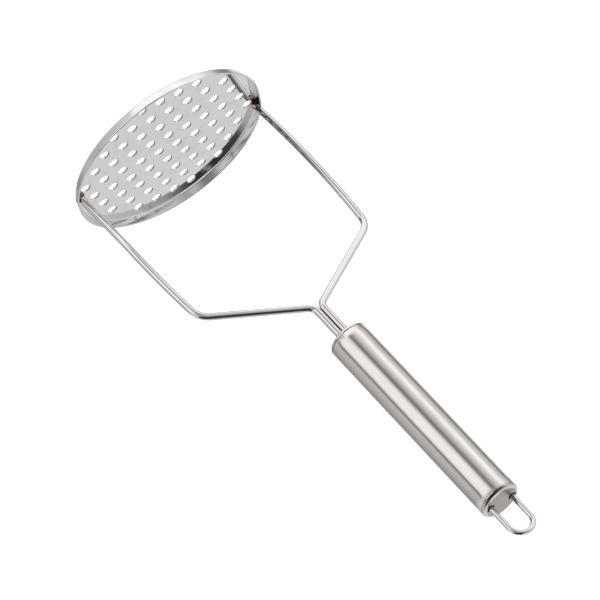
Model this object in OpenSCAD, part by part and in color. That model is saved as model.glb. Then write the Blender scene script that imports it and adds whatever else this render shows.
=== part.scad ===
// Potato masher: a round perforated pan, two bent frame wires, a hollow tube
// handle and a small sliding hanging loop. All sizes in mm.
// The pan stands flat on Z = 0 with its centre on the Z axis.
// X runs from wire foot to wire foot. The handle leans towards +Y and a little to +X.

/* [Mashing plate] */
// Outside diameter at the lip of the rim
plate_d = 100; // [92:1:110]
// Sheet thickness
plate_t = 0.8; // [0.6:0.1:1]
// Height of the turned-up rim
rim_h = 4.6; // [3.5:0.1:8]
// Radius that the rim gains between floor and lip
rim_flare = 0.8; // [0.5:0.1:1.5]
// Outside radius of the corner between floor and rim
corner_r = 1.5; // [1.2:0.1:2.5]
// Rise of the domed floor at its centre
floor_dome = 0.9; // [0.4:0.1:2]
// Diameter of the mashing holes
hole_d = 5; // [4:0.1:6]
// Distance between holes in a row
hole_pitch = 9.7; // [9:0.1:10]
// Distance between rows of holes
row_pitch = 9.8; // [9:0.1:10]
// Turn of the rows of holes against the line between the wire feet
hole_turn = 3.5; // [-10:0.5:10]

/* [Frame wires] */
// Diameter of the frame wire
wire_d = 3.5; // [3:0.1:4]
// Backward lean of frame and handle
lean_back = 7.5; // [0:0.5:15]
// Sideways lean of frame and handle
lean_side = 2; // [0:0.5:3]
// Distance between the two feet, centre to centre
foot_spread = 94; // [92:0.5:94.5]
// Height of the bowed leg, from the floor to the start of the shoulder
leg_h = 84; // [70:1:110]
// Outward slope of a leg at its foot
leg_splay = 4.5; // [3:0.5:7]
// Inward slope of a leg at its top
leg_close = 5; // [3:0.5:8]
// Centre-line radius of the shoulder bend
shoulder_r = 10; // [8:1:20]
// Angle between an arm and the handle
arm_angle = 61; // [50:1:70]
// Centre-line radius of the bend at the neck
neck_r = 5; // [4:0.5:9]
// Bare length of the two parallel wires between neck and handle
neck_len = 18.6; // [10:0.1:30]
// Length of wire inside the handle
wire_inside = 18; // [10:1:40]
// Length of the weld along the rim at a wire foot
foot_weld_len = 6; // [5:0.1:8]
// Width of the weld on the floor and its rise up the rim
foot_weld_leg = 1.5; // [1:0.1:1.6]

/* [Handle] */
// Outside diameter of the handle
handle_d = 19; // [16:0.5:25]
// Length of the handle with both caps
handle_len = 107; // [90:1:140]
// Wall thickness of the handle tube
handle_wall = 0.8; // [0.6:0.1:1.5]
// Visible depth of a cap beyond the end of the tube
cap_lip = 2; // [1.8:0.1:4]
// Radius of the rounded edge of a cap
cap_edge_r = 1.6; // [0.8:0.1:1.7]
// Thickness of a cap's face and skirt
cap_t = 1; // [0.8:0.1:1.5]
// Length of a cap's skirt inside the tube
cap_skirt = 6; // [4:0.5:10]

/* [Hanging loop] */
// Diameter of the loop wire
loop_wire_d = 2.6; // [2:0.1:3]
// Distance between the two legs of the loop, centre to centre
loop_w = 11.4; // [10:0.1:12]
// Reach of the loop beyond the rear cap when it is pulled out
loop_out = 19; // [18:0.5:30]
// Diameter of the two loop holes in the rear cap
loop_hole_d = 3.8; // [3.4:0.1:4.2]
// Centre-line radius of the inward hooks that keep the loop in
hook_r = 2.5; // [2:0.1:2.6]

/* [Hidden] */
$fn = 64;

// Mashing plate
lip_r = plate_d / 2;
floor_r = lip_r - rim_flare;
flat_r = floor_r - corner_r;
dome_r = flat_r - 4;
dome_ball_r = (dome_r * dome_r + floor_dome * floor_dome) / (2 * floor_dome);
dome_z = floor_dome - dome_ball_r;
// Holes in the middle row, then in each row outwards from it
row_holes = [10, 9, 8, 7, 4];

// Frame wires, drawn in the plane of the frame with the floor at height 0
leg_r = leg_h / (sin(leg_splay) + sin(leg_close));
leg_centre = [foot_spread / 2 - leg_r * cos(leg_splay), leg_r * sin(leg_splay)];
leg_top = leg_centre + leg_r * [cos(leg_close), sin(leg_close)];
// Wire below the floor line, which is ground away
foot_extra = 4;
leg_sweep = leg_splay + leg_close + foot_extra / leg_r * 180 / PI;
shoulder_in = shoulder_r * (cos(leg_close) - cos(arm_angle));
shoulder_up = shoulder_r * (sin(arm_angle) - sin(leg_close));
neck_x = wire_d / 2 + 0.03;
neck_in = neck_r * (1 - cos(arm_angle));
neck_up = neck_r * sin(arm_angle);
arm_len = (leg_top[0] - shoulder_in - neck_in - neck_x) / sin(arm_angle);
neck_z = leg_top[1] + shoulder_up + arm_len * cos(arm_angle) + neck_up;

// Heights along the handle's own axis
front_z = neck_z + neck_len;
rear_z = front_z + handle_len;
tube_r = handle_d / 2;
bore_r = tube_r - handle_wall;
loop_bend_r = loop_w / 2;
loop_bend_z = rear_z + loop_out - loop_bend_r - loop_wire_d / 2;
hook_z = rear_z - cap_t - hook_r - loop_wire_d / 2;

// Places its children along the leaning axis of the frame and handle
module on_frame() {
    translate([0, 0, plate_t])
        rotate([-lean_back, lean_side, 0])
            children();
}

// Turns a drawing in X and Y into the upright plane of the frame
module upright() {
    rotate([90, 0, 0])
        children();
}

// A knuckle at a tangent point, a hair thicker than the wire, that joins the two lengths
module knuckle(d) {
    sphere(d = d + 0.1);
}

// A round rod that heads along +Y from the origin. Its children go on from its end.
module straight(length, d) {
    rotate([-90, 0, 0])
        cylinder(h = length, d = d);
    translate([0, length, 0])
        children();
}

// A round rod that heads along +Y from the origin and bends towards -X.
// Its children go on from its end.
module bend(radius, angle, d) {
    translate([-radius, 0, 0]) {
        rotate_extrude(angle = angle, $fn = 128)
            translate([radius, 0])
                circle(d = d);
        rotate([0, 0, angle])
            translate([radius, 0, 0])
                children();
    }
}

// Half section of the pan: domed floor, rounded corner, flared rim
module plate_section() {
    // Domed part of the floor
    intersection() {
        translate([0, dome_z])
            difference() {
                circle(r = dome_ball_r + plate_t, $fn = 4000);
                circle(r = dome_ball_r, $fn = 4000);
            }
        square([dome_r, floor_dome + 2 * plate_t]);
    }
    // Flat ring that the pan stands on
    translate([dome_r - plate_t, 0])
        square([flat_r - dome_r + plate_t, plate_t]);
    // Rounded corner
    intersection() {
        translate([flat_r, corner_r])
            difference() {
                circle(r = corner_r);
                circle(r = corner_r - plate_t);
            }
        translate([flat_r, 0])
            square([corner_r, corner_r]);
    }
    // Flared wall
    polygon([
        [floor_r - plate_t, corner_r],
        [floor_r, corner_r],
        [lip_r, rim_h - plate_t / 2],
        [lip_r - plate_t, rim_h - plate_t / 2]
    ]);
    // Rounded lip
    translate([lip_r - plate_t / 2, rim_h - plate_t / 2])
        circle(d = plate_t);
}

// Staggered rows of holes, with the longest row in the middle
module plate_holes() {
    rotate([0, 0, hole_turn])
        for (row = [1 - len(row_holes) : len(row_holes) - 1]) {
            count = row_holes[abs(row)];
            for (i = [0 : count - 1])
                translate([(i - (count - 1) / 2) * hole_pitch, row * row_pitch, -1])
                    cylinder(h = floor_dome + plate_t + 2, d = hole_d, $fn = 32);
        }
}

module mashing_plate() {
    color("gainsboro")
        difference() {
            rotate_extrude($fn = 180)
                plate_section();
            plate_holes();
        }
}

// Space inside the pan, above its floor
module pan_inside() {
    translate([0, 0, plate_t])
        cylinder(h = corner_r - plate_t, r = flat_r);
    translate([0, 0, corner_r])
        cylinder(h = rim_h - corner_r, r1 = floor_r - plate_t, r2 = lip_r - plate_t);
}

// Block of space filled by the pan around a foot, used to trim what stands in the pan
module pan_block() {
    difference() {
        translate([0, 0, -2 * foot_extra])
            cylinder(h = 2 * foot_extra + rim_h - plate_t / 2, r = lip_r + 5);
        pan_inside();
    }
}

// One whole wire before its foot is ground. Side is 1 for +X, -1 for -X.
module wire_rod(side) {
    on_frame()
        mirror([side < 0 ? 1 : 0, 0, 0])
            upright()
                translate([leg_top[0], leg_top[1], 0])
                    rotate([0, 0, leg_close]) {
                        mirror([0, 1, 0])
                            bend(leg_r, leg_sweep, wire_d);
                        knuckle(wire_d);
                        bend(shoulder_r, arm_angle - leg_close, wire_d) {
                            knuckle(wire_d);
                            straight(arm_len, wire_d) {
                                knuckle(wire_d);
                                mirror([1, 0, 0])
                                    bend(neck_r, arm_angle, wire_d) {
                                        knuckle(wire_d);
                                        straight(neck_len + wire_inside, wire_d);
                                    }
                            }
                        }
                    }
}

// The foot is ground to sit on the floor and against the rim
module frame_wire(side) {
    difference() {
        wire_rod(side);
        pan_block();
    }
}

module frame_wire_left() {
    color("silver")
        frame_wire(-1);
}

module frame_wire_right() {
    color("silver")
        frame_wire(1);
}

// Weld bead on both sides of a wire foot, in the corner between floor and rim
module foot_weld(side) {
    half_angle = foot_weld_len / 2 / flat_r * 180 / PI;
    difference() {
        rotate([0, 0, (side < 0 ? 180 : 0) - half_angle])
            rotate_extrude(angle = 2 * half_angle)
                polygon([
                    [flat_r - foot_weld_leg, plate_t],
                    [flat_r, plate_t],
                    [floor_r - plate_t, corner_r],
                    [floor_r - plate_t, corner_r + foot_weld_leg]
                ]);
        on_frame()
            translate([side * foot_spread / 2, 0, 0])
                rotate([0, side * leg_splay, 0])
                    translate([0, 0, -foot_extra])
                        cylinder(h = 3 * foot_extra, d = wire_d);
    }
}

module foot_weld_left() {
    color("dimgray")
        foot_weld(-1);
}

module foot_weld_right() {
    color("dimgray")
        foot_weld(1);
}

module handle_tube() {
    color("lightgray")
        on_frame()
            translate([0, 0, front_z + cap_lip])
                difference() {
                    cylinder(h = handle_len - 2 * cap_lip, r = tube_r);
                    translate([0, 0, -1])
                        cylinder(h = handle_len, r = bore_r);
                }
}

// A cup-shaped cap with its face at height 0 and its skirt towards -Z
module cap() {
    rotate_extrude() {
        // Rounded edge
        intersection() {
            translate([tube_r - cap_edge_r, -cap_edge_r])
                circle(r = cap_edge_r);
            translate([tube_r - cap_edge_r, -cap_edge_r])
                square(cap_edge_r);
        }
        // Face
        translate([0, -cap_t])
            square([tube_r - cap_edge_r, cap_t]);
        // Lip that meets the end of the tube
        translate([bore_r - cap_t, -cap_lip])
            square([tube_r - bore_r + cap_t, cap_lip - cap_edge_r]);
        translate([bore_r - cap_t, -cap_lip])
            square([tube_r - cap_edge_r - bore_r + cap_t, cap_lip]);
        // Skirt inside the tube
        translate([bore_r - cap_t, -cap_lip - cap_skirt])
            square([cap_t, cap_lip + cap_skirt - cap_t / 2]);
    }
}

module front_cap() {
    color("silver")
        on_frame()
            difference() {
                translate([0, 0, front_z])
                    mirror([0, 0, 1])
                        cap();
                for (side = [-1, 1])
                    translate([side * neck_x, 0, front_z - 1])
                        cylinder(h = cap_t + 2, d = wire_d);
            }
}

// Bead that holds both wires to the inner face of the front cap
module neck_weld() {
    color("dimgray")
        on_frame()
            difference() {
                translate([0, 0, front_z + cap_t])
                    cylinder(h = 2, r1 = wire_d + 2, r2 = wire_d + 0.8);
                for (side = [-1, 1])
                    translate([side * neck_x, 0, front_z])
                        cylinder(h = cap_t + 4, d = wire_d);
            }
}

module rear_cap() {
    color("darkgray")
        on_frame()
            translate([0, 0, rear_z])
                difference() {
                    cap();
                    for (side = [-1, 1])
                        translate([side * loop_bend_r, 0, -cap_t - 1])
                            cylinder(h = cap_t + 2, d = loop_hole_d);
                }
}

// One leg of the loop with the hook that keeps it in the handle
module loop_leg() {
    straight(loop_bend_z - hook_z, loop_wire_d)
        bend(hook_r, 90, loop_wire_d)
            straight(1, loop_wire_d);
}

// U-shaped wire loop with its two ends hooked towards each other inside the handle
module hanging_loop() {
    color("silver")
        on_frame()
            upright()
                translate([loop_bend_r, loop_bend_z, 0]) {
                    bend(loop_bend_r, 180, loop_wire_d)
                        loop_leg();
                    mirror([0, 1, 0])
                        loop_leg();
                }
}

mashing_plate();
frame_wire_left();
frame_wire_right();
foot_weld_left();
foot_weld_right();
handle_tube();
front_cap();
neck_weld();
rear_cap();
hanging_loop();
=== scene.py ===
"""Looks of the potato masher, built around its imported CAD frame."""

import math
import random

import bmesh
import bpy
from mathutils import Euler, Matrix, Vector
from mathutils.geometry import delaunay_2d_cdt


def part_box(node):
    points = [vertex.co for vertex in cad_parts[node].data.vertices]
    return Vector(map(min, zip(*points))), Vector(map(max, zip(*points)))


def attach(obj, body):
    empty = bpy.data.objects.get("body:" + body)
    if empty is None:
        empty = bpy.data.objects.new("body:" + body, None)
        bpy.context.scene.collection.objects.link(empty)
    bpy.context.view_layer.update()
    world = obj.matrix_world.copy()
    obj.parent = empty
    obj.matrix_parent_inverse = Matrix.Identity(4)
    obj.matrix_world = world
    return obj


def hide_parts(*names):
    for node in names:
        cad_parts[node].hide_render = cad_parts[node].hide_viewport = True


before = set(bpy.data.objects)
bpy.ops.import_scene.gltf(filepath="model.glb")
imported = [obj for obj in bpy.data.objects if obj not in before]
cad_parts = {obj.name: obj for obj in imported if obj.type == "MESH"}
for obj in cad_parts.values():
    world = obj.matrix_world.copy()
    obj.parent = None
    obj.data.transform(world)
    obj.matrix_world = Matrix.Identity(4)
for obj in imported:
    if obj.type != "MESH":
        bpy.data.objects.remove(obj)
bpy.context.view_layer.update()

MM = 0.001

# Pressed plate
PLATE_T = 0.8 * MM
RIM_H = 4.6 * MM
RIM_FLARE = 0.8 * MM
CORNER_R = 1.5 * MM
FLOOR_DOME = 0.9 * MM
DOME_MARGIN = 4 * MM
HOLE_R = 2.5 * MM
HOLE_PITCH = 9.7 * MM
ROW_PITCH = 9.8 * MM
HOLE_TURN = math.radians(3.5)
# Holes in each row, from the middle row outwards
ROW_HOLES = (10, 9, 8, 7, 4)

# Frame wires. The radius is a hair under the CAD's, so that they stay inside its box
WIRE_R = 1.74 * MM
LEAN_BACK = math.radians(7.5)
LEAN_SIDE = math.radians(2)
FOOT_X = 47 * MM
FOOT_SINK = 2.5 * MM
LEG_H = 84 * MM
LEG_SPLAY = math.radians(4.5)
LEG_CLOSE = math.radians(5)
SHOULDER_R = 10 * MM
ARM_ANGLE = math.radians(61)
NECK_R = 5 * MM
NECK_X = 1.78 * MM
NECK_LEN = 18.6 * MM
WIRE_INSIDE = 18 * MM
# The left foot is set this far back along the rim, from a bend in the last stretch of its leg
FOOT_BACK = 5.5 * MM
FOOT_BEND_H = 42 * MM

# Handle and caps
HANDLE_R = 9.5 * MM
HANDLE_LEN = 107 * MM
HANDLE_WALL = 0.8 * MM
CAP_LIP = 2 * MM
CAP_T = 1 * MM

# Hanging loop. Its wire is also a hair thinner than the CAD's
LOOP_R = 5.7 * MM
LOOP_HALF_WIRE = 1.3 * MM
LOOP_WIRE_R = 1.295 * MM
LOOP_OUT = 19 * MM
HOOK_R = 2.5 * MM
HOOK_STUB = 1 * MM

# Centre and reach of the heat tint at each foot, right then left
FOOT_SPOTS = (((FOOT_X + 0.6 * MM, 0.6 * MM, 1.6 * MM), 3.0 * MM),
              ((0.2 * MM - FOOT_X, -FOOT_BACK - 0.3 * MM, 4.6 * MM), 3.3 * MM))

plate_low, plate_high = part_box("mashing_plate")
LIP_R = (plate_high[0] - plate_low[0]) / 2
FLOOR_R = LIP_R - RIM_FLARE
FLAT_R = FLOOR_R - CORNER_R
DOME_R = FLAT_R - DOME_MARGIN
DOME_BALL_R = (DOME_R ** 2 + FLOOR_DOME ** 2) / (2 * FLOOR_DOME)

# The leaning frame: local Z runs along the handle, local X from foot to foot
LEAN = Euler((-LEAN_BACK, LEAN_SIDE, 0), "XYZ").to_matrix().to_4x4()
ON_FRAME = Matrix.Translation((0, 0, PLATE_T)) @ LEAN
# How far the wires' origin is raised along the leaning axis
RAISED = PLATE_T * math.cos(LEAN_BACK) * math.cos(LEAN_SIDE)

# Colours of bare steel, each with the tint of its cloudy patches
SHEET_COLOUR = (0.80, 0.80, 0.79)
SHEET_CLOUD = (0.77, 0.77, 0.77)
WIRE_COLOUR = (0.82, 0.80, 0.79)
WIRE_CLOUD = (0.77, 0.75, 0.74)
TUBE_COLOUR = (0.80, 0.757, 0.745)
TUBE_CLOUD = (0.77, 0.73, 0.715)
CAP_COLOUR = (0.50, 0.475, 0.465)
CAP_CLOUD = (0.46, 0.44, 0.43)
POLISHED_EDGE = (0.80, 0.76, 0.745)
# Colours of painted shade in the wires' crack and round the rear cap, of painted shade with some grime in
# the tube's seams, and of scratches
SHADE_AND_GRIME_DARK = (0.035, 0.03, 0.028)
CRACK_SHADE_DARK = (0.05, 0.046, 0.042)
SCRATCH_DARK = (0.25, 0.23, 0.22)


# ---------------------------------------------------------------- camera

# Place in metres, turn in degrees
CAMERA_PLACE = (-0.5507, 1.2208, 0.67978)
CAMERA_TURN = (-61.429, -33.967, 7.585)
CAMERA_LENS = 198.0
SENSOR_WIDTH = 36.0
# Compass angle of the camera, seen from the object
CAMERA_SIDE = math.radians(114.5)
# The side of the rear cap on which the painted shade round its rolled edge is darkest
SHADE_SIDE = (math.cos(CAMERA_SIDE), math.sin(CAMERA_SIDE), 0)


def make_camera():
    data = bpy.data.cameras.new("camera")
    data.lens = CAMERA_LENS
    data.sensor_width = SENSOR_WIDTH
    data.clip_end = 20.0
    camera = bpy.data.objects.new("camera", data)
    camera.location = CAMERA_PLACE
    camera.rotation_euler = Euler([math.radians(a) for a in CAMERA_TURN], "XYZ")
    bpy.context.collection.objects.link(camera)
    bpy.context.scene.camera = camera


# ---------------------------------------------------------------- meshes

def add_object(name, mesh, body, material, node, place=Matrix.Identity(4)):
    """Links a finished mesh, hangs it on its body's empty and hides the CAD solid that it stands for."""
    mesh.transform(place)
    obj = bpy.data.objects.new(name, mesh)
    bpy.context.collection.objects.link(obj)
    mesh.materials.append(material)
    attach(obj, body)
    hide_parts(node)
    return obj


def smooth_mesh(name, bm):
    """Turns a finished bmesh into a smooth-shaded mesh."""
    bmesh.ops.recalc_face_normals(bm, faces=bm.faces)
    for face in bm.faces:
        face.smooth = True
    mesh = bpy.data.meshes.new(name)
    bm.to_mesh(mesh)
    bm.free()
    return mesh


class Path:
    """A wire's centre line in the frame's plane, as points (x, z) with a heading."""

    def __init__(self, x, z, heading):
        self.x = x
        self.z = z
        self.heading = heading
        self.points = [(x, z)]

    def straight(self, length, step):
        count = max(1, round(length / step))
        for _ in range(count):
            self.x += math.sin(self.heading) * length / count
            self.z += math.cos(self.heading) * length / count
            self.points.append((self.x, self.z))

    def bend(self, radius, angle, step):
        """Positive angles turn the heading from +Z towards +X."""
        side = 1 if angle > 0 else -1
        centre_x = self.x + side * radius * math.cos(self.heading)
        centre_z = self.z - side * radius * math.sin(self.heading)
        count = max(2, math.ceil(radius * abs(angle) / step))
        for _ in range(count):
            self.heading += angle / count
            self.x = centre_x - side * radius * math.cos(self.heading)
            self.z = centre_z + side * radius * math.sin(self.heading)
            self.points.append((self.x, self.z))


def end_rings(point, inward, radius, end_round):
    """The three rings of a softly rounded wire end, from its face inwards."""
    return [
        (point, radius - end_round),
        (point + inward * end_round * 0.3, radius - end_round * 0.3),
        (point + inward * end_round, radius),
    ]


def join_rings(bm, rings, closed=False):
    """Quads between neighbouring rings of vertices. A closed stack also joins its last to its first."""
    pairs = list(zip(rings, rings[1:]))
    if closed:
        pairs.append((rings[-1], rings[0]))
    for lower, upper in pairs:
        for k in range(len(lower)):
            n = (k + 1) % len(lower)
            bm.faces.new((lower[k], lower[n], upper[n], upper[k]))


def tube_mesh(name, points, radius, mirror_x=False, sides=40, end_round=0.3 * MM):
    """A round tube along a flat path, with softly rounded ends."""
    path = [Vector((-x if mirror_x else x, 0, z)) for x, z in points]
    across = Vector((0, 1, 0))
    rings = []
    last = len(path) - 1
    for i, point in enumerate(path):
        along = (path[min(i + 1, last)] - path[max(i - 1, 0)]).normalized()
        if i == 0:
            here = end_rings(point, along, radius, end_round)
        elif i == last:
            here = reversed(end_rings(point, -along, radius, end_round))
        else:
            here = [(point, radius)]
        rings += [(middle, along, ring_r) for middle, ring_r in here]
    bm = bmesh.new()
    loops = []
    for point, along, ring_r in rings:
        side = across.cross(along).normalized()
        loop = []
        for k in range(sides):
            turn = 2 * math.pi * k / sides
            loop.append(bm.verts.new(point + ring_r * (math.cos(turn) * side + math.sin(turn) * across)))
        loops.append(loop)
    join_rings(bm, loops)
    bm.faces.new(loops[0][::-1])
    bm.faces.new(loops[-1])
    return smooth_mesh(name, bm)


# ---------------------------------------------------------------- materials

def dim(colour, share):
    """A colour made darker by a share."""
    return tuple(share * c for c in colour)


def grey(level):
    return (level, level, level)


def blank_material(name):
    """A new node material: the material, its node builder and its shader."""
    material = bpy.data.materials.new(name)
    material.use_nodes = True
    return material, Nodes(material.node_tree), material.node_tree.nodes["Principled BSDF"]


class Nodes:
    """Short names for building one node tree."""

    def __init__(self, tree):
        self.tree = tree

    def add(self, kind, **values):
        node = self.tree.nodes.new(kind)
        for key, value in values.items():
            if key in node.inputs:
                node.inputs[key].default_value = value
            else:
                setattr(node, key, value)
        return node

    def link(self, a, b):
        self.tree.links.new(a, b)

    def math(self, operation, a, b=None, c=None, clamp=False):
        """One sum. Each term is a socket or a number."""
        node = self.add("ShaderNodeMath", operation=operation, use_clamp=clamp)
        for socket, value in zip(node.inputs, (a, b, c)):
            if value is None:
                continue
            if isinstance(value, (int, float)):
                socket.default_value = value
            else:
                self.link(value, socket)
        return node.outputs[0]

    def ramp(self, factor, stops, smooth=False):
        """A colour ramp from (place, grey level or colour) pairs."""
        node = self.add("ShaderNodeValToRGB")
        if smooth:
            node.color_ramp.interpolation = "EASE"
        elements = node.color_ramp.elements
        while len(elements) < len(stops):
            elements.new(0.5)
        for element, (place, colour) in zip(elements, stops):
            element.position = place
            if isinstance(colour, (int, float)):
                colour = grey(colour)
            element.color = (*colour, 1)
        self.link(factor, node.inputs[0])
        return node.outputs[0]

    def mix(self, factor, a, b):
        """Blends colour a into colour b. Each is a socket, a colour or a grey level."""
        node = self.add("ShaderNodeMix", data_type="RGBA")
        for socket, value in ((node.inputs[0], factor), (node.inputs[6], a), (node.inputs[7], b)):
            if isinstance(value, (int, float)):
                socket.default_value = value
            elif isinstance(value, tuple):
                socket.default_value = (*value, 1)
            else:
                self.link(value, socket)
        return node.outputs[2]

    def axes(self, vector):
        """The x, y and z of a vector as three sockets."""
        parts = self.add("ShaderNodeSeparateXYZ")
        self.link(vector, parts.inputs[0])
        return parts.outputs

    def vector_math(self, operation, a, b=None):
        """The node of one vector sum. The second term is a fixed vector."""
        node = self.add("ShaderNodeVectorMath", operation=operation)
        self.link(a, node.inputs[0])
        if b is not None:
            node.inputs[1].default_value = b
        return node

    def bump(self, height, strength, distance):
        node = self.add("ShaderNodeBump", Strength=strength, Distance=distance)
        self.link(height, node.inputs["Height"])
        return node

    def noise(self, vector, scale, detail=2.0, stretch=(1, 1, 1)):
        scaled = self.add("ShaderNodeMapping")
        scaled.inputs["Scale"].default_value = stretch
        self.link(vector, scaled.inputs["Vector"])
        node = self.add("ShaderNodeTexNoise", Scale=scale, Detail=detail)
        self.link(scaled.outputs[0], node.inputs["Vector"])
        return node.outputs[0]


def leaning_place(n):
    """Shading position in the leaning frame, so that streaks follow the handle."""
    turned = n.add("ShaderNodeVectorRotate", rotation_type="EULER_XYZ", invert=True)
    turned.inputs["Rotation"].default_value = (-LEAN_BACK, LEAN_SIDE, 0)
    n.link(n.add("ShaderNodeTexCoord").outputs["Object"], turned.inputs["Vector"])
    return turned.outputs[0]


def scratches(n, place, scale, turn, width):
    """A few fine dark scratches: the thin zero line of a stretched noise, in rare patches."""
    lines = n.add("ShaderNodeMapping")
    lines.inputs["Rotation"].default_value = (0.3, turn, 0.2)
    lines.inputs["Scale"].default_value = (1, 1, 0.12)
    n.link(place, lines.inputs["Vector"])
    field = n.add("ShaderNodeTexNoise", Scale=scale, Detail=0.0)
    n.link(lines.outputs[0], field.inputs["Vector"])
    off = n.math("ABSOLUTE", n.math("SUBTRACT", field.outputs[0], 0.5))
    line = n.ramp(n.math("DIVIDE", off, width), ((0.0, 1.0), (1.0, 0.0)))
    patch = n.ramp(n.noise(place, scale * 0.45, detail=0.0), ((0.62, 0.0), (0.68, 1.0)))
    return n.math("MULTIPLY", line, patch)


STREAK_DEPTH = 0.05 * MM
SWELL_DEPTH = 0.4 * MM


def metal(name, colour, tint, roughness, rough_spread, stretch, streak_scale, bump, finish,
          scratch=0.0, wave=0.0):
    """Bare steel: streaks along the work, cloudy colour, uneven gloss and fine scratches.

    The finish adds what is special to one piece: it takes the nodes, the shading place, the base
    colour and the roughness, and gives back the last two.
    """
    material, n, shader = blank_material(name)
    shader.inputs["Metallic"].default_value = 1.0
    place = leaning_place(n)
    streaks = n.noise(place, streak_scale, detail=4.0, stretch=stretch)
    clouds = n.noise(place, 45.0, detail=3.0)
    base = n.mix(n.ramp(clouds, ((0.35, 0.0), (0.65, 1.0))), colour, tint)
    base = n.mix(n.ramp(streaks, ((0.52, 0.0), (0.80, 1.0))), base, dim(colour, 0.86))
    gloss = n.math("MULTIPLY_ADD", streaks, rough_spread, roughness - rough_spread / 2)
    smudge = n.ramp(n.noise(place, 110.0, detail=2.0), ((0.45, 0.0), (0.75, 0.05)))
    gloss = n.math("ADD", gloss, smudge, clamp=True)
    if scratch:
        marks = scratches(n, place, scale=150.0, turn=0.5, width=0.006)
        base = n.mix(n.math("MULTIPLY", marks, scratch), base, SCRATCH_DARK)
    base, gloss = finish(n, place, base, gloss)
    n.link(base, shader.inputs["Base Color"])
    n.link(gloss, shader.inputs["Roughness"])
    fine = n.bump(streaks, bump, STREAK_DEPTH)
    if wave:
        swell = n.bump(n.noise(place, 60.0, detail=1.0), wave, SWELL_DEPTH)
        n.link(swell.outputs[0], fine.inputs["Normal"])
    n.link(fine.outputs[0], shader.inputs["Normal"])
    return material


def sheet_finish(n, place, base, gloss):
    """Only the heat tint at the feet."""
    return heat_tint(n, base), gloss


# The painted shade in the crack ends inside the handle, short of the loop
CRACK_SHADE_TOP = 150 * MM


def wire_finish(n, place, base, gloss):
    """Heat tint at the feet, and painted shade in the crack where the two wires run side by side."""
    sideways, _, rise = n.axes(place)
    from_middle = n.math("DIVIDE", n.math("ABSOLUTE", sideways), 1 * MM)
    # Painted shade: the wires' facing sides are darkened where they touch
    crack = n.ramp(from_middle, ((0.10, 1.0), (0.38, 0.0)))
    below = n.math("LESS_THAN", rise, CRACK_SHADE_TOP)
    base = n.mix(n.math("MULTIPLY", crack, below), base, CRACK_SHADE_DARK)
    return heat_tint(n, base), gloss


def tube_finish(n, place, base, gloss):
    """Dark lines where the tube meets its two caps: painted shade in the seams, with some grime."""
    rise = n.axes(place)[2]
    front_seam = FRONT_Z + CAP_LIP + RAISED
    rear_seam = REAR_Z - CAP_LIP + RAISED
    for seam, spread, depth in ((front_seam, 0.35 * MM, 0.5), (rear_seam, 0.4 * MM, 0.3)):
        # Painted shade, with some grime, close to each seam
        away = n.math("ABSOLUTE", n.math("SUBTRACT", rise, seam))
        line = n.ramp(n.math("DIVIDE", away, spread, clamp=True), ((0.35, depth), (1.0, 0.0)))
        base = n.mix(line, base, SHADE_AND_GRIME_DARK)
    return base, gloss


# The painted shade band round the rear cap's rolled edge: how far its middle is below the cap's end, and its
# half width
SHADE_BAND_DROP = 1.15 * MM
SHADE_BAND_HALF = 0.75 * MM


def cap_finish(n, place, base, gloss):
    """Satin on the flat face, polished round the edge, with a painted shade band that is darkest on the
    camera's side.
    """
    x, y, rise = n.axes(place)
    across = n.add("ShaderNodeCombineXYZ")
    n.link(x, across.inputs[0])
    n.link(y, across.inputs[1])
    reach = n.vector_math("LENGTH", across.outputs[0]).outputs["Value"]
    edge = n.ramp(n.math("DIVIDE", reach, 10 * MM), ((0.775, 0.0), (0.80, 1.0)))
    base = n.mix(edge, base, POLISHED_EDGE)
    # Painted shade: a dark band round the rolled edge, strongest on the camera's side
    away = n.math("ABSOLUTE", n.math("SUBTRACT", rise, REAR_Z - SHADE_BAND_DROP + RAISED))
    band = n.ramp(n.math("DIVIDE", away, SHADE_BAND_HALF, clamp=True), ((0.45, 0.92), (1.0, 0.0)))
    side = n.vector_math("NORMALIZE", across.outputs[0]).outputs[0]
    facing = n.vector_math("DOT_PRODUCT", side, SHADE_SIDE).outputs["Value"]
    band = n.math("MULTIPLY", band, n.ramp(facing, ((0.70, 0.30), (0.93, 1.0))))
    base = n.mix(band, base, SHADE_AND_GRIME_DARK)
    return base, n.mix(edge, gloss, grey(0.13))


# How far the tint's edge wanders
RAGGED = 3.2 * MM


def heat_tint(n, base):
    """Black, brown and straw oxide that fades out with the distance from each weld."""
    spot = n.add("ShaderNodeNewGeometry").outputs["Position"]
    ragged = n.math("MULTIPLY_ADD", n.noise(spot, 420.0, detail=3.0), RAGGED, -RAGGED / 2)
    for foot, spread in FOOT_SPOTS:
        away = n.vector_math("DISTANCE", spot, foot).outputs["Value"]
        reach = n.math("DIVIDE", n.math("ADD", away, ragged), spread, clamp=True)
        oxide = n.ramp(reach, (
            (0.0, (0.030, 0.024, 0.022)),
            (0.42, (0.060, 0.036, 0.026)),
            (0.58, (0.22, 0.11, 0.06)),
            (0.74, (0.52, 0.38, 0.26)),
            (1.0, (0.76, 0.72, 0.68)),
        ))
        base = n.mix(n.ramp(reach, ((0.45, 1.0), (0.95, 0.0))), base, oxide)
    return base


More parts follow.
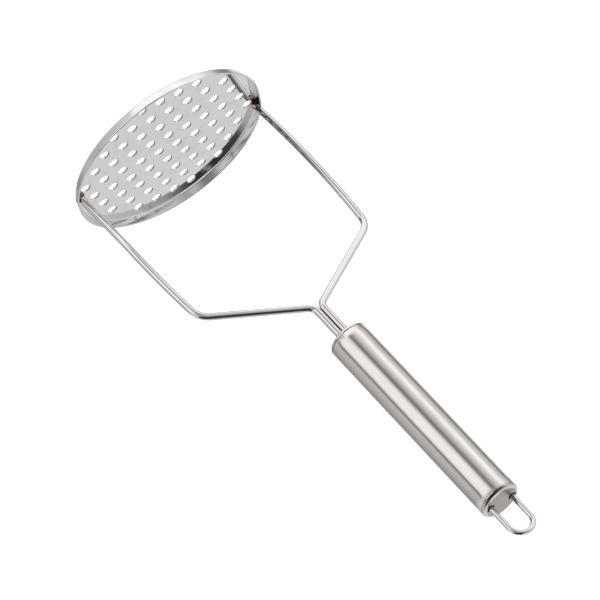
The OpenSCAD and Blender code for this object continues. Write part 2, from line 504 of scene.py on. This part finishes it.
def punched_edge():
    """Rough torn metal inside the holes, with a painted highlight on the walls that face +X and painted
    shade on the others.
    """
    material, n, shader = blank_material("punched_edge")
    shader.inputs["Metallic"].default_value = 1.0
    shader.inputs["Roughness"].default_value = 0.35
    place = n.add("ShaderNodeTexCoord").outputs["Object"]
    torn = n.noise(place, 700.0, detail=3.0)
    # Painted highlight and shade: the wall's colour follows which way it faces
    facing = n.axes(n.add("ShaderNodeNewGeometry").outputs["True Normal"])[0]
    lean = n.math("MULTIPLY_ADD", facing, 0.5, 0.5)
    dull = n.ramp(torn, ((0.35, 0.42), (0.65, 0.56)))
    bright = n.ramp(torn, ((0.35, 0.86), (0.65, 0.98)))
    n.link(n.mix(n.ramp(lean, ((0.30, 0.0), (0.52, 1.0))), dull, bright), shader.inputs["Base Color"])
    n.link(n.bump(torn, 0.3, 0.1 * MM).outputs[0], shader.inputs["Normal"])
    return material


def weld_material(name, shade):
    """Patchy oxide on a lumpy bead. A lower shade is more burnt."""
    material, n, shader = blank_material(name)
    shader.inputs["Metallic"].default_value = 0.9
    place = n.add("ShaderNodeTexCoord").outputs["Object"]
    patches = n.noise(place, 520.0, detail=4.0)
    stops = ((0.32, (0.05, 0.045, 0.042)), (0.46, (0.16, 0.10, 0.07)),
             (0.58, (0.38, 0.30, 0.24)), (0.72, (0.60, 0.58, 0.56)))
    shaded = [(level, dim(colour, shade)) for level, colour in stops]
    n.link(n.ramp(patches, shaded), shader.inputs["Base Color"])
    n.link(n.ramp(patches, ((0.3, 0.55), (0.7, 0.25))), shader.inputs["Roughness"])
    rough = n.bump(n.noise(place, 900.0, detail=3.0), 0.6, 0.2 * MM)
    n.link(rough.outputs[0], shader.inputs["Normal"])
    return material


# ---------------------------------------------------------------- mashing plate

RIM_SEGMENTS = 288
HOLE_SEGMENTS = 40
# Spacing of the floor's own points in near-even triangles, and how far they keep off the rim
# and the holes
GRID = 2.2 * MM
ROW_STEP = 0.866
RIM_GAP = 0.6 * GRID
HOLE_GAP = 0.5 * GRID
# The top edge of each hole is drawn in: it starts outside the hole and ends inside, a step down
DRAWN_OUT = 0.10 * MM
DRAWN_IN = 0.22 * MM
DRAWN_DEEP = 0.25 * MM
# Rounding of each hole's bottom edge
EDGE_R = 0.12 * MM
# How much steeper than the dome the floor shades, everywhere and near one foot
EDGE_SPRING = 1.35
FOOT_SPRING = 1.0
# Middle and spread, round the rim, of each place that strays from a true circle
SPRING_AT = (0.4, 0.55)
DENT_AT = (0.25, 0.30)
PUSH_AT = (math.pi + 0.115, 0.045)
# Segments of the rim's inner corner, walls, lip and outer corner
INNER_CORNER_STEPS = 7
WALL_STEPS = 9
LIP_STEPS = 10
OUTER_CORNER_STEPS = 9


def circle_point(radius, k, count):
    turn = 2 * math.pi * k / count
    return Vector((radius * math.cos(turn), radius * math.sin(turn)))


def dome_height(r):
    """Height of the floor's underside at a radius."""
    if r >= DOME_R:
        return 0.0
    return math.sqrt(DOME_BALL_R ** 2 - r ** 2) - (DOME_BALL_R - FLOOR_DOME)


def dome_normal(x, y):
    """The shading normal: the sheet springs back more steeply towards its edge, most near one foot."""
    near_foot = near_angle(math.atan2(y, x), *SPRING_AT) * math.hypot(x, y) / FLAT_R
    spring = EDGE_SPRING + FOOT_SPRING * near_foot
    return Vector((x * spring, y * EDGE_SPRING, DOME_BALL_R)).normalized()


def hole_centres():
    """Staggered rows, all turned a little about the middle."""
    turn = Matrix.Rotation(HOLE_TURN, 2)
    centres = []
    for row in range(1 - len(ROW_HOLES), len(ROW_HOLES)):
        count = ROW_HOLES[abs(row)]
        for i in range(count):
            centres.append(turn @ Vector(((i - (count - 1) / 2) * HOLE_PITCH, row * ROW_PITCH)))
    return centres


def floor_outline(centres, hole_r):
    """Triangles of the flat floor round its holes: points, triangles and the holes' rings."""
    points = [circle_point(FLAT_R, k, RIM_SEGMENTS) for k in range(RIM_SEGMENTS)]
    edges = [(k, (k + 1) % RIM_SEGMENTS) for k in range(RIM_SEGMENTS)]
    rings = []
    for centre in centres:
        start = len(points)
        for k in range(HOLE_SEGMENTS):
            points.append(centre + circle_point(hole_r, k, HOLE_SEGMENTS))
            edges.append((start + k, start + (k + 1) % HOLE_SEGMENTS))
        rings.append(range(start, start + HOLE_SEGMENTS))
    steps = math.ceil(FLAT_R / GRID)
    for row in range(-steps, steps + 1):
        for column in range(-steps, steps + 1):
            spot = Vector(((column + 0.5 * (row % 2)) * GRID, row * GRID * ROW_STEP))
            if spot.length > FLAT_R - RIM_GAP:
                continue
            if min((spot - centre).length for centre in centres) < hole_r + HOLE_GAP:
                continue
            points.append(spot)
    flat, _, faces, _, _, _ = delaunay_2d_cdt(points, edges, [], 0, 1e-9)
    kept = []
    for face in faces:
        middle = sum((flat[i] for i in face), Vector((0, 0))) / len(face)
        if min((middle - centre).length for centre in centres) > hole_r * 0.999:
            kept.append(face)
    return flat, kept, rings


def between(start, end, steps):
    """The points that part a straight line into steps, without its two ends."""
    return [tuple(a + (b - a) * k / steps for a, b in zip(start, end)) for k in range(1, steps)]


def rim_profile():
    """Inner corner, wall, lip, outer wall and outer corner, as (r, z)."""
    profile = []
    inner_r = CORNER_R - PLATE_T
    flare = math.atan2(RIM_FLARE, RIM_H - PLATE_T / 2 - CORNER_R)
    for k in range(1, INNER_CORNER_STEPS + 1):
        turn = (math.pi / 2 - flare) * k / INNER_CORNER_STEPS
        profile.append((FLAT_R + inner_r * math.sin(turn), CORNER_R - inner_r * math.cos(turn)))
    lip_centre = (LIP_R - PLATE_T / 2, RIM_H - PLATE_T / 2)
    inner_end = (lip_centre[0] - PLATE_T / 2, lip_centre[1])
    outer_end = (lip_centre[0] + PLATE_T / 2, lip_centre[1])
    profile += between(profile[-1], inner_end, WALL_STEPS)
    for k in range(LIP_STEPS + 1):
        turn = math.pi * (1 - k / LIP_STEPS)
        profile.append((lip_centre[0] + PLATE_T / 2 * math.cos(turn),
                        lip_centre[1] + PLATE_T / 2 * math.sin(turn)))
    end = (FLAT_R + CORNER_R * math.cos(flare), CORNER_R - CORNER_R * math.sin(flare))
    profile += between(outer_end, end, WALL_STEPS)
    for k in range(OUTER_CORNER_STEPS):
        turn = flare + (math.pi / 2 - flare) * k / OUTER_CORNER_STEPS
        profile.append((FLAT_R + CORNER_R * math.cos(turn), CORNER_R - CORNER_R * math.sin(turn)))
    return profile


def near_angle(turn, middle, spread):
    """A smooth hump round the rim, 1 at its middle."""
    away = math.atan2(math.sin(turn - middle), math.cos(turn - middle))
    return math.exp(-(away / spread) ** 2)


# Size, number and phase of the faint waves round the rim, with room left for them inside the lip
RIM_LOBES = ((0.030 * MM, 5, 0.7), (0.021 * MM, 11, 2.1), (0.012 * MM, 23, 0.4))
LOBE_ROOM = 0.06 * MM
# The wall strays fully from this far above the floor
FREE_RISE = 3 * MM
# The wall is dented in near the right foot, and pushed out half way up at the left foot
DENT = 1.2 * MM
PUSH = 0.6 * MM
PUSH_MIDDLE = 2.6 * MM
PUSH_SPREAD = 1.3 * MM


def wall_shift(turn, z):
    """How far the pressed wall strays from a true circle: faint lobes, a push and a dent."""
    grow = min(1.0, max(0.0, (z - PLATE_T) / FREE_RISE))
    lobes = sum(size * math.sin(count * turn + phase) for size, count, phase in RIM_LOBES)
    fade = math.exp(-((z - PUSH_MIDDLE) / PUSH_SPREAD) ** 2)
    push = PUSH * near_angle(turn, *PUSH_AT) * fade
    dent = DENT * near_angle(turn, *DENT_AT) * grow
    return lobes * grow + push - dent - LOBE_ROOM * grow


def make_plate(material, hole_material):
    """The pan as one closed sheet: floor, holes with drawn-in edges, and the flared rim."""
    centres = hole_centres()
    top_points, top_faces, top_rings = floor_outline(centres, HOLE_R + DRAWN_OUT)
    wall_r = HOLE_R - DRAWN_IN
    under_points, under_faces, under_rings = floor_outline(centres, wall_r + EDGE_R)
    bm = bmesh.new()
    normals = []

    def add_point(x, y, z, normal):
        normals.append(normal)
        return bm.verts.new((x, y, z))

    top = []
    for p in top_points:
        normal = dome_normal(p.x, p.y)
        z = dome_height(p.length) + PLATE_T
        top.append(add_point(p.x, p.y, z, normal))
    under = []
    for p in under_points:
        normal = -dome_normal(p.x, p.y)
        under.append(add_point(p.x, p.y, dome_height(p.length), normal))
    for face in top_faces:
        bm.faces.new([top[i] for i in face])
    for face in under_faces:
        bm.faces.new([under[i] for i in reversed(face)])
    for centre, top_ring, under_ring in zip(centres, top_rings, under_rings):
        upper = []
        lower = []
        for k in range(HOLE_SEGMENTS):
            out = circle_point(1, k, HOLE_SEGMENTS)
            p = centre + wall_r * out
            inward = Vector((-out.x, -out.y, 0))
            z = dome_height(p.length)
            upper.append(add_point(p.x, p.y, z + PLATE_T - DRAWN_DEEP, inward))
            lower.append(add_point(p.x, p.y, z + EDGE_R, inward))
        for k in range(HOLE_SEGMENTS):
            n = (k + 1) % HOLE_SEGMENTS
            bm.faces.new((top[top_ring[k]], top[top_ring[n]], upper[n], upper[k])).material_index = 1
            bm.faces.new((upper[k], upper[n], lower[n], lower[k])).material_index = 1
            bm.faces.new((lower[k], lower[n], under[under_ring[n]], under[under_ring[k]]))
    loops = [[top[k] for k in range(RIM_SEGMENTS)]]
    for r, z in rim_profile():
        loop = []
        for k in range(RIM_SEGMENTS):
            turn = 2 * math.pi * k / RIM_SEGMENTS
            far = min(LIP_R, r + wall_shift(turn, z)) if z > PLATE_T else r
            loop.append(add_point(far * math.cos(turn), far * math.sin(turn), z, None))
        loops.append(loop)
    loops.append([under[k] for k in range(RIM_SEGMENTS)])
    join_rings(bm, loops)
    mesh = smooth_mesh("mashing_pan", bm)
    own = [v.normal.copy() for v in mesh.vertices]
    shading = [a if a is not None else b for a, b in zip(normals, own)]
    mesh.normals_split_custom_set_from_vertices(shading)
    pan = add_object("mashing_pan", mesh, "masher", material, "mashing_plate")
    pan.data.materials.append(hole_material)


# ---------------------------------------------------------------- wires and loop

def wire_path():
    """One frame wire from its sunk foot to its hidden end, and the height where the neck starts."""
    leg_r = LEG_H / (math.sin(LEG_SPLAY) + math.sin(LEG_CLOSE))
    start = LEG_SPLAY + FOOT_SINK / leg_r
    centre_x = FOOT_X - leg_r * math.cos(LEG_SPLAY)
    centre_z = leg_r * math.sin(LEG_SPLAY)
    path = Path(centre_x + leg_r * math.cos(start), centre_z - leg_r * math.sin(start), start)
    path.bend(leg_r, -(start + LEG_CLOSE), 2 * MM)
    path.bend(SHOULDER_R, -(ARM_ANGLE - LEG_CLOSE), 0.5 * MM)
    drop = NECK_R * (1 - math.cos(ARM_ANGLE))
    path.straight((path.x - drop - NECK_X) / math.sin(ARM_ANGLE), 4 * MM)
    path.bend(NECK_R, ARM_ANGLE, 0.4 * MM)
    neck_z = path.z
    path.straight(NECK_LEN + WIRE_INSIDE, 4 * MM)
    return path.points, neck_z


WIRE_POINTS, NECK_Z = wire_path()
# Heights of the handle's two ends along the leaning axis
FRONT_Z = NECK_Z + NECK_LEN
REAR_Z = FRONT_Z + HANDLE_LEN


def bend_foot(mesh):
    """Sets the last stretch of the leg back, more and more towards its foot."""
    for vertex in mesh.vertices:
        share = max(0.0, 1 - vertex.co.z / FOOT_BEND_H)
        vertex.co.y -= FOOT_BACK * share ** 1.5


def keep_in_pan(spot, depth, slope, corner_reach=FLOOR_R):
    """Brings a point from outside the rim or below the floor back to a depth inside the sheet."""
    most = FLOOR_R - depth + max(0.0, spot.z - CORNER_R) * slope
    if spot.z < CORNER_R:
        most = min(most, corner_reach)
    spot.xy *= min(1.0, most / spot.xy.length)
    spot.z = max(spot.z, depth)


def trim_foot(mesh, place):
    """Cuts away what would show below the floor or outside the rim's wall."""
    inverse = place.inverted()
    for vertex in mesh.vertices:
        spot = place @ vertex.co
        if spot.z <= RIM_H:
            keep_in_pan(spot, depth=0.5 * PLATE_T, slope=0.25, corner_reach=FLAT_R + 0.4 * MM)
            vertex.co = inverse @ spot


def make_wires(material):
    """The right wire, and its mirror image with its foot set back."""
    for name, node, mirror_x in (("frame_wire_r", "frame_wire_right", False),
                                 ("frame_wire_l", "frame_wire_left", True)):
        mesh = tube_mesh(name, WIRE_POINTS, WIRE_R, mirror_x)
        if mirror_x:
            bend_foot(mesh)
        trim_foot(mesh, ON_FRAME)
        add_object(name, mesh, "masher", material, node, ON_FRAME)


def make_loop(material):
    """A hook inside the cap, a leg, the bend, the other leg and the other hook."""
    top_z = REAR_Z + LOOP_OUT - LOOP_R - LOOP_HALF_WIRE
    hook_z = REAR_Z - CAP_T - HOOK_R - LOOP_WIRE_R
    path = Path(LOOP_R - HOOK_R - HOOK_STUB, hook_z - HOOK_R, math.pi / 2)
    path.straight(HOOK_STUB, 0.5 * MM)
    path.bend(HOOK_R, -math.pi / 2, 0.3 * MM)
    path.straight(top_z - hook_z, 2 * MM)
    path.bend(LOOP_R, -math.pi, 0.35 * MM)
    path.straight(top_z - hook_z, 2 * MM)
    path.bend(HOOK_R, -math.pi / 2, 0.3 * MM)
    path.straight(HOOK_STUB, 0.5 * MM)
    mesh = tube_mesh("loop_wire", path.points, LOOP_WIRE_R, end_round=0.2 * MM)
    add_object("loop_wire", mesh, "loop", material, "hanging_loop", ON_FRAME)


# How many lumps a bead has, and how wide each is as a share of the bead's radius
LUMPS = 14
LUMP_WIDTH = 0.25


def make_weld(name, node, foot, half_size, seed, material):
    """A lumpy bead in the corner of floor and rim, round the outside of a wire foot."""
    bm = bmesh.new()
    bmesh.ops.create_icosphere(bm, subdivisions=4, radius=1.0)
    shape = random.Random(seed)
    lumps = [(Vector([shape.uniform(-1, 1) for _ in range(3)]).normalized(), shape.uniform(0.05, 0.16))
             for _ in range(LUMPS)]
    centre = Vector((foot[0], foot[1], PLATE_T + 0.5 * MM))
    for vertex in bm.verts:
        swell = 1.0
        for way, size in lumps:
            swell += size * max(0.0, vertex.co.dot(way) - (1 - LUMP_WIDTH)) / LUMP_WIDTH
        spot = centre + swell * MM * Vector([a * b for a, b in zip(vertex.co, half_size)])
        keep_in_pan(spot, depth=0.6 * PLATE_T, slope=0.2)
        vertex.co = spot
    add_object(name, smooth_mesh(name, bm), "masher", material, node)


# ---------------------------------------------------------------- handle

TUBE_SEGMENTS = 192
TUBE_STEPS = 24
TUBE_EDGE = 0.22 * MM


def make_handle(material):
    """The tube with rounded edges at both ends, open inside."""
    low = FRONT_Z + CAP_LIP
    high = REAR_Z - CAP_LIP
    inset = 0.3 * TUBE_EDGE
    profile = [(HANDLE_R - TUBE_EDGE, low), (HANDLE_R - inset, low + inset), (HANDLE_R, low + TUBE_EDGE)]
    profile += between((HANDLE_R, low), (HANDLE_R, high), TUBE_STEPS)
    profile += [(HANDLE_R, high - TUBE_EDGE), (HANDLE_R - inset, high - inset), (HANDLE_R - TUBE_EDGE, high)]
    profile += [(HANDLE_R - HANDLE_WALL, high), (HANDLE_R - HANDLE_WALL, low)]
    bm = bmesh.new()
    loops = []
    for r, z in profile:
        ring = [circle_point(r, k, TUBE_SEGMENTS) for k in range(TUBE_SEGMENTS)]
        loops.append([bm.verts.new((p.x, p.y, z)) for p in ring])
    join_rings(bm, loops, closed=True)
    mesh = smooth_mesh("grip_tube", bm)
    add_object("grip_tube", mesh, "masher", material, "handle_tube", ON_FRAME)


def paint_cad(node, material):
    """Gives a CAD solid that stays in view its material."""
    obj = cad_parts[node]
    obj.data.materials.clear()
    obj.data.materials.append(material)


# ---------------------------------------------------------------- light and floor

GAIN = 1.28

# Brightness of the room round the object, by angle from the camera's side, in four layers
FLOOR_BANDS = ((-180, 0.60), (-131, 0.46), (-79, 0.42), (-48, 0.50), (-16, 0.60), (-6, 0.92),
               (21, 0.97), (60, 0.95), (94, 0.82), (115, 0.66), (128, 0.28), (138, 0.24),
               (150, 0.60), (180, 0.60))
LOW_BANDS = ((-180, 0.72), (-146, 0.32), (-132, 0.26), (-111, 0.38), (-85, 0.48), (-72, 0.46), (-66, 0.18),
             (-61, 0.22), (-54, 0.68), (-44, 0.87), (-14, 0.87), (-4, 0.70), (8, 0.24), (14, 0.17),
             (22, 0.27), (32, 0.46), (45, 0.60), (57, 0.80), (68, 0.95), (75, 0.93), (86, 0.68),
             (108, 0.46), (122, 0.24), (133, 0.20), (143, 0.60), (160, 0.80), (180, 0.72))
MIDDLE_BANDS = ((-180, 0.62), (-110, 0.60), (-66, 0.62), (-44, 0.52), (-30, 0.50), (-20, 0.20), (-8, 0.18),
                (4, 0.46), (16, 0.34), (26, 0.46), (36, 0.54), (58, 0.80), (75, 0.85),
                (84, 0.68), (111, 0.48), (140, 0.52), (180, 0.62))
HIGH_BANDS = ((-180, 0.60), (-140, 0.55), (-100, 0.40), (-84, 0.06), (-40, 0.03), (2, 0.03), (16, 0.10),
              (45, 0.34), (80, 0.50), (130, 0.60), (180, 0.60))
# Each layer above the first takes over between two heights, from 0 straight down to 1 straight up
LOW_FROM_TO = (0.12, 0.18)
MIDDLE_FROM_TO = (0.35, 0.48)
HIGH_FROM_TO = (0.62, 0.72)
TOP_FROM_TO = (0.96, 0.99)
TOP_LEVEL = 0.8


def make_world():
    """A studio room: panels of light with gaps between them, dark overhead on the camera's side."""
    world = bpy.data.worlds.new("studio")
    bpy.context.scene.world = world
    world.use_nodes = True
    n = Nodes(world.node_tree)
    way = n.add("ShaderNodeTexCoord").outputs["Generated"]
    turned = n.add("ShaderNodeVectorRotate", rotation_type="Z_AXIS")
    n.link(way, turned.inputs["Vector"])
    turned.inputs["Angle"].default_value = -CAMERA_SIDE
    x, y, z = n.axes(turned.outputs[0])
    around = n.math("MULTIPLY_ADD", n.math("ARCTAN2", y, x), -1 / (2 * math.pi), 0.5)
    floor, low, middle, high = [
        n.ramp(around, [(0.5 + angle / 360, level) for angle, level in stops])
        for stops in (FLOOR_BANDS, LOW_BANDS, MIDDLE_BANDS, HIGH_BANDS)
    ]
    height = n.math("MULTIPLY_ADD", z, 0.5, 0.5)
    room = floor
    for layer, (start, end) in ((low, LOW_FROM_TO), (middle, MIDDLE_FROM_TO), (high, HIGH_FROM_TO),
                                (grey(TOP_LEVEL), TOP_FROM_TO)):
        room = n.mix(n.ramp(height, ((start, 0.0), (end, 1.0)), smooth=True), room, layer)
    background = world.node_tree.nodes["Background"]
    background.inputs["Strength"].default_value = GAIN
    n.link(room, background.inputs["Color"])


# The floor lies just under the plate
FLOOR_GAP = 0.2 * MM


def make_floor():
    """A pale, evenly glowing sheet that takes soft shadows and doesn't show in the steel."""
    bm = bmesh.new()
    bmesh.ops.create_circle(bm, cap_ends=True, segments=96, radius=4.0)
    mesh = bpy.data.meshes.new("floor")
    bm.to_mesh(mesh)
    bm.free()
    floor = bpy.data.objects.new("floor", mesh)
    floor.location.z = -FLOOR_GAP
    floor.visible_glossy = False
    bpy.context.collection.objects.link(floor)
    material, _, shader = blank_material("pale_floor")
    shader.inputs["Base Color"].default_value = (0.9, 0.9, 0.9, 1)
    shader.inputs["Roughness"].default_value = 0.9
    shader.inputs["Specular IOR Level"].default_value = 0.0
    shader.inputs["Emission Color"].default_value = (1, 1, 1, 1)
    shader.inputs["Emission Strength"].default_value = 0.62
    mesh.materials.append(material)


LIGHT_AIM = Vector((0, 0, 0.05))


def make_light(name, place, size, power):
    """A round soft light aimed at the masher."""
    data = bpy.data.lights.new(name, "AREA")
    data.shape = "DISK"
    data.size = size
    data.energy = power
    light = bpy.data.objects.new(name, data)
    light.location = place
    light.rotation_euler = (LIGHT_AIM - Vector(place)).to_track_quat("-Z", "Y").to_euler()
    light.visible_glossy = False
    bpy.context.collection.objects.link(light)


# ---------------------------------------------------------------- build

make_camera()
make_world()
make_floor()
make_light("key", (0.9, 1.2, 2.2), size=1.6, power=30)
make_light("fill", (-1.4, -0.6, 1.8), size=1.6, power=18)

sheet = metal("polished_sheet", SHEET_COLOUR, SHEET_CLOUD, roughness=0.07, rough_spread=0.05,
              stretch=(1, 1, 1), streak_scale=180.0, bump=0.02, finish=sheet_finish, wave=0.05)
wire = metal("polished_wire", WIRE_COLOUR, WIRE_CLOUD, roughness=0.08, rough_spread=0.05,
             stretch=(1, 1, 0.15), streak_scale=1500.0, bump=0.08, finish=wire_finish)
tube = metal("brushed_tube", TUBE_COLOUR, TUBE_CLOUD, roughness=0.10, rough_spread=0.08,
             stretch=(1, 1, 0.02), streak_scale=2600.0, bump=0.10, finish=tube_finish, scratch=0.6)
cap = metal("satin_cap", CAP_COLOUR, CAP_CLOUD, roughness=0.36, rough_spread=0.10,
            stretch=(1, 1, 1), streak_scale=900.0, bump=0.15, finish=cap_finish)
weld = weld_material("heat_tinted_weld", shade=1.0)
burnt_weld = weld_material("burnt_weld", shade=0.4)

make_plate(sheet, punched_edge())
make_wires(wire)
make_handle(tube)
make_loop(wire)
right_foot, left_foot = (foot for foot, spread in FOOT_SPOTS)
make_weld("weld_bead_r", "foot_weld_right", right_foot, (1.5, 2.1, 1.3), 7, burnt_weld)
make_weld("weld_bead_l", "foot_weld_left", left_foot, (1.8, 2.7, 1.7), 11, weld)
paint_cad("front_cap", tube)
paint_cad("rear_cap", cap)
paint_cad("neck_weld", weld)

view = bpy.context.scene.view_settings
view.view_transform = "Standard"
view.look = "None"
